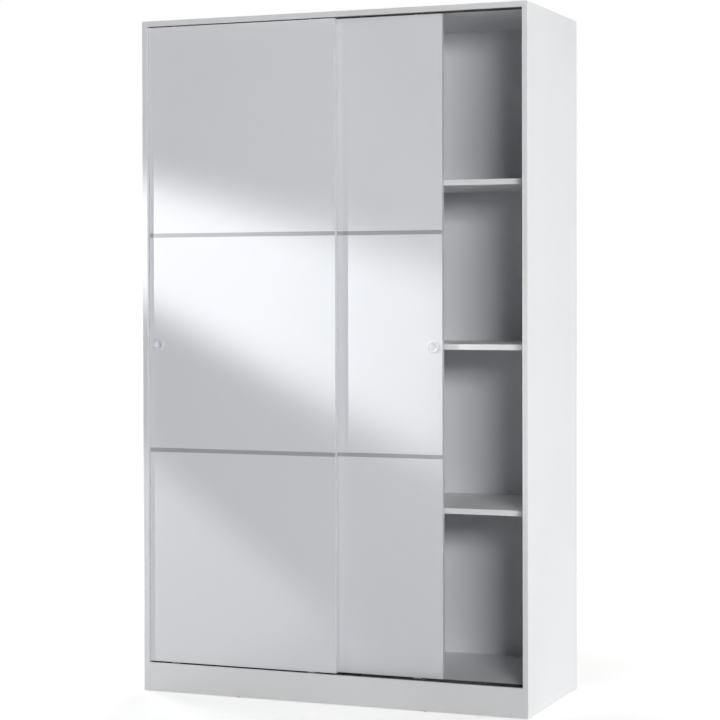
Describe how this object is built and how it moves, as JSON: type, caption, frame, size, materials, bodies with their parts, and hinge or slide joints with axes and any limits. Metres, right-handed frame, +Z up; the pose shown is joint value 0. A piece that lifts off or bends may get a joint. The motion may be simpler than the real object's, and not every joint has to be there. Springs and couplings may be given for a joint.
{
  "type": "sliding door wardrobe",
  "caption": "Tall white wardrobe with sliding doors on flush black tracks, aluminium trim strips, round dished pulls, shelves on one side and hanging space on the other.",
  "frame": {"origin": "centre of the footprint at floor level", "axes": "+X to the right as one faces the doors, +Y towards the back, +Z up; the doors are at the -Y side"},
  "size_m": [1.2, 0.5, 2],
  "materials": {
    "white_board": "satin white melamine on chipboard",
    "gloss_white_board": "gloss white lacquer on chipboard",
    "white_hardboard": "matt white lacquered hardboard",
    "black_plastic": "extruded, satin black",
    "aluminium_trim": "satin anodised, brushed along its length",
    "satin_pull": "satin, turned",
    "chrome_tube": "bright chrome",
    "zinc_steel": "zinc plated",
    "white_plastic": "moulded, matt",
    "grey_plastic": "moulded, matt",
    "white_nylon": "moulded nylon",
    "clear_rubber": "soft, translucent grey",
    "beech": "fluted, unfinished"
  },
  "bodies": {
    "carcass": {"side_panel_left": "white_board", "side_panel_right": "white_board", "top_panel": "white_board", "bottom_panel": "white_board", "partition": "white_board", "plinth_front": "white_board", "plinth_rear": "white_board", "plinth_brace": "white_board", "shelf_right_lower": "white_board", "shelf_right_middle": "white_board", "shelf_right_upper": "white_board", "hat_shelf": "white_board", "back_panel_left": "white_hardboard", "back_panel_right": "white_hardboard", "track_top": "black_plastic", "track_bottom": "black_plastic", "hanging_rail": "chrome_tube", "rail_supports": "white_plastic", "shelf_pins": "zinc_steel", "cam_locks": "zinc_steel", "cam_bolts": "zinc_steel", "wooden_dowels": "beech", "partition_screws": "zinc_steel", "small_screws": "zinc_steel", "corner_blocks": "white_plastic", "wall_brackets": "zinc_steel", "foot_glides": "grey_plastic", "door_buffers": "clear_rubber", "back_nails": "zinc_steel"},
    "left_door": {"left_door_panel": "gloss_white_board", "left_door_trim_lower": "aluminium_trim", "left_door_trim_upper": "aluminium_trim", "left_door_pull": "satin_pull", "left_door_pull_screw": "zinc_steel", "left_door_roller_housings": "grey_plastic", "left_door_axles": "zinc_steel", "left_door_roller_screws": "zinc_steel", "left_door_guide_sleeves": "grey_plastic", "left_door_spring_left": "zinc_steel", "left_door_spring_right": "zinc_steel"},
    "left_door_wheel_left": {"left_door_wheel_left": "white_nylon"},
    "left_door_plunger_left": {"left_door_plunger_left": "white_nylon"},
    "left_door_wheel_right": {"left_door_wheel_right": "white_nylon"},
    "left_door_plunger_right": {"left_door_plunger_right": "white_nylon"},
    "right_door": {"right_door_panel": "gloss_white_board", "right_door_trim_lower": "aluminium_trim", "right_door_trim_upper": "aluminium_trim", "right_door_pull": "satin_pull", "right_door_pull_screw": "zinc_steel", "right_door_roller_housings": "grey_plastic", "right_door_axles": "zinc_steel", "right_door_roller_screws": "zinc_steel", "right_door_guide_sleeves": "grey_plastic", "right_door_spring_left": "zinc_steel", "right_door_spring_right": "zinc_steel"},
    "right_door_wheel_left": {"right_door_wheel_left": "white_nylon"},
    "right_door_plunger_left": {"right_door_plunger_left": "white_nylon"},
    "right_door_wheel_right": {"right_door_wheel_right": "white_nylon"},
    "right_door_plunger_right": {"right_door_plunger_right": "white_nylon"}
  },
  "joints": [
    {"name": "left_door_slide", "type": "slide", "parent": "carcass", "child": "left_door", "axis": [1, 0, 0], "range_m": [0, 0.566]},
    {"name": "left_door_wheel_left_spin", "type": "hinge", "parent": "left_door", "child": "left_door_wheel_left", "pos_m": [-0.503, -0.23, 0.0943], "axis": [0, 1, 0], "continuous": true},
    {"name": "left_door_plunger_left_travel", "type": "slide", "parent": "left_door", "child": "left_door_plunger_left", "axis": [0, 0, 1], "range_m": [-0.008, 0], "stiffness_N_per_m": 400, "springref_m": 0.004, "deforming": ["left_door_spring_left"]},
    {"name": "left_door_wheel_right_spin", "type": "hinge", "parent": "left_door", "child": "left_door_wheel_right", "pos_m": [-0.064, -0.23, 0.0943], "axis": [0, 1, 0], "continuous": true},
    {"name": "left_door_plunger_right_travel", "type": "slide", "parent": "left_door", "child": "left_door_plunger_right", "axis": [0, 0, 1], "range_m": [-0.008, 0], "stiffness_N_per_m": 400, "springref_m": 0.004, "deforming": ["left_door_spring_right"]},
    {"name": "right_door_slide", "type": "slide", "parent": "carcass", "child": "right_door", "axis": [1, 0, 0], "range_m": [-0.32, 0.247]},
    {"name": "right_door_wheel_left_spin", "type": "hinge", "parent": "right_door", "child": "right_door_wheel_left", "pos_m": [-0.183, -0.207, 0.0943], "axis": [0, 1, 0], "continuous": true},
    {"name": "right_door_plunger_left_travel", "type": "slide", "parent": "right_door", "child": "right_door_plunger_left", "axis": [0, 0, 1], "range_m": [-0.008, 0], "stiffness_N_per_m": 400, "springref_m": 0.004, "deforming": ["right_door_spring_left"]},
    {"name": "right_door_wheel_right_spin", "type": "hinge", "parent": "right_door", "child": "right_door_wheel_right", "pos_m": [0.256, -0.207, 0.0943], "axis": [0, 1, 0], "continuous": true},
    {"name": "right_door_plunger_right_travel", "type": "slide", "parent": "right_door", "child": "right_door_plunger_right", "axis": [0, 0, 1], "range_m": [-0.008, 0], "stiffness_N_per_m": 400, "springref_m": 0.004, "deforming": ["right_door_spring_right"]}
  ],
  "couplings": [
    {"joint": "left_door_wheel_left_spin", "follows": "left_door_slide", "rad_per_m": 71.429},
    {"joint": "left_door_wheel_right_spin", "follows": "left_door_slide", "rad_per_m": 71.429},
    {"joint": "right_door_wheel_left_spin", "follows": "right_door_slide", "rad_per_m": 71.429},
    {"joint": "right_door_wheel_right_spin", "follows": "right_door_slide", "rad_per_m": 71.429}
  ]
}
